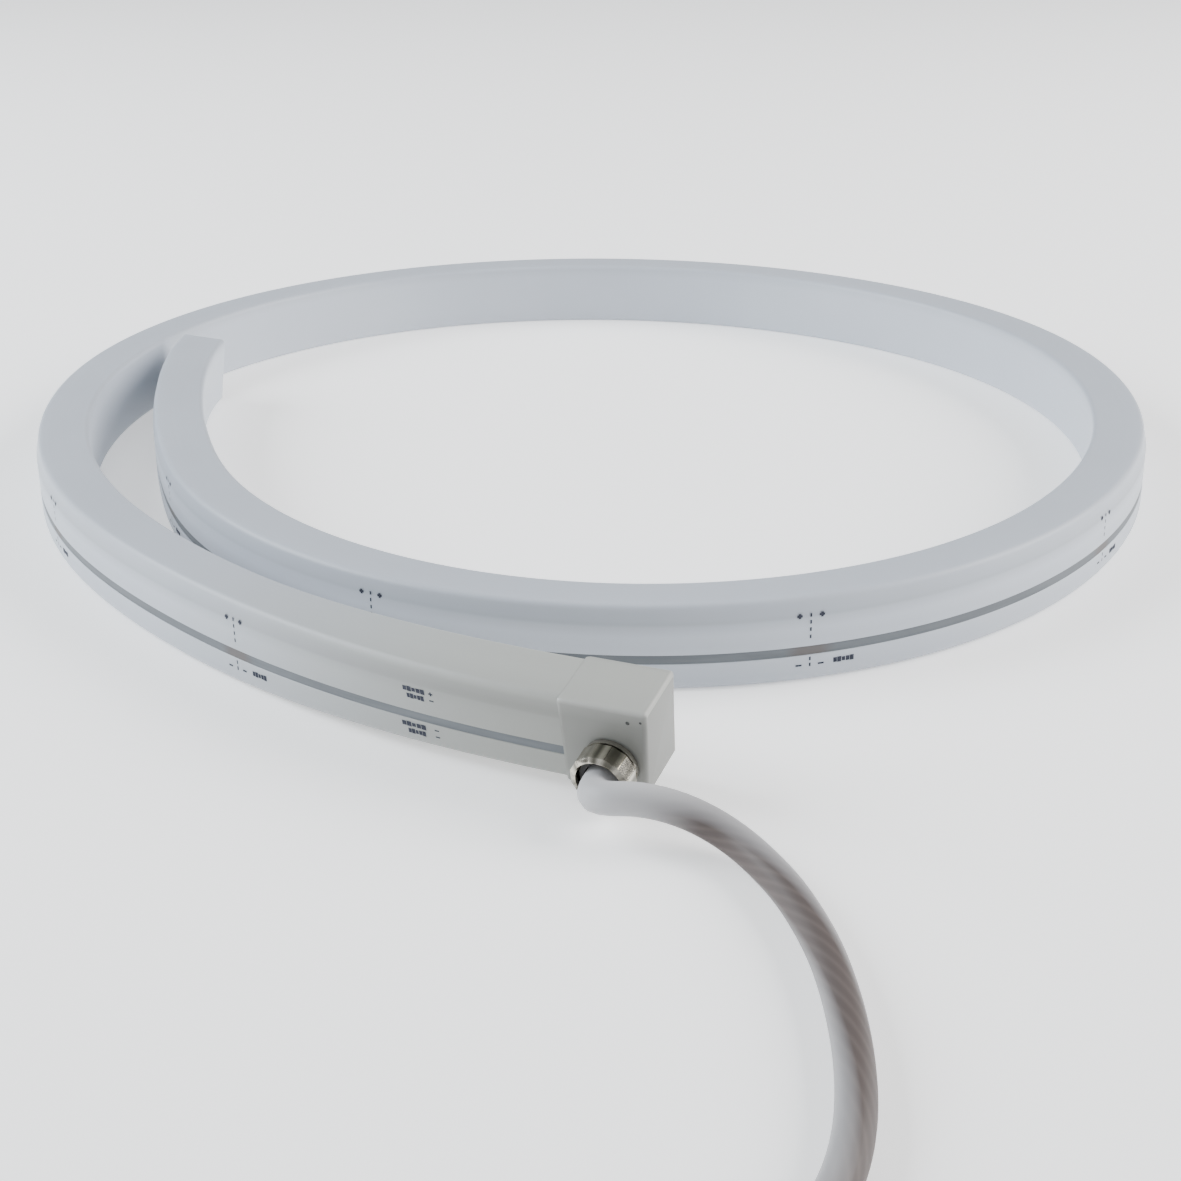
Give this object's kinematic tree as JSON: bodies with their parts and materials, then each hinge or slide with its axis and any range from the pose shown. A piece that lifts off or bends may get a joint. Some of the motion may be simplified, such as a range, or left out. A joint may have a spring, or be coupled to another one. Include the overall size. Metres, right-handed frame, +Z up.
{
  "type": "led neon flex",
  "caption": "Length of flexible LED neon strip laid in a coil, with a moulded end cap, a metal cable gland and a bare-ended lead.",
  "frame": {"origin": "centre of the coil, cap and gland's box (without the lead), on the floor it lies on", "axes": "+Z up, out of the coil's plane; -Y towards the end with the cap and the gland"},
  "size_m": [0.3272, 0.5497, 0.0263],
  "materials": {
    "frosted_silicone": "satin, milky translucent",
    "moulded_silicone": "satin, cloudy translucent",
    "nickel_plate": "polished nickel",
    "black_rubber": "matt",
    "lead_jacket": "glossy translucent white",
    "black_insulation": "satin",
    "red_insulation": "satin",
    "green_insulation": "satin",
    "blue_insulation": "satin",
    "tinned_copper": "bright tinned wire"
  },
  "bodies": {
    "root": {"neon_tube": "frosted_silicone", "end_cap": "moulded_silicone", "gland_collar": "nickel_plate", "gland_nut": "nickel_plate", "gland_seal": "black_rubber", "lead": "lead_jacket", "core_black": "black_insulation", "core_red": "red_insulation", "core_green": "green_insulation", "core_blue": "blue_insulation", "core_tip_black": "tinned_copper", "core_tip_red": "tinned_copper", "core_tip_green": "tinned_copper", "core_tip_blue": "tinned_copper"}
  },
  "joints": []
}
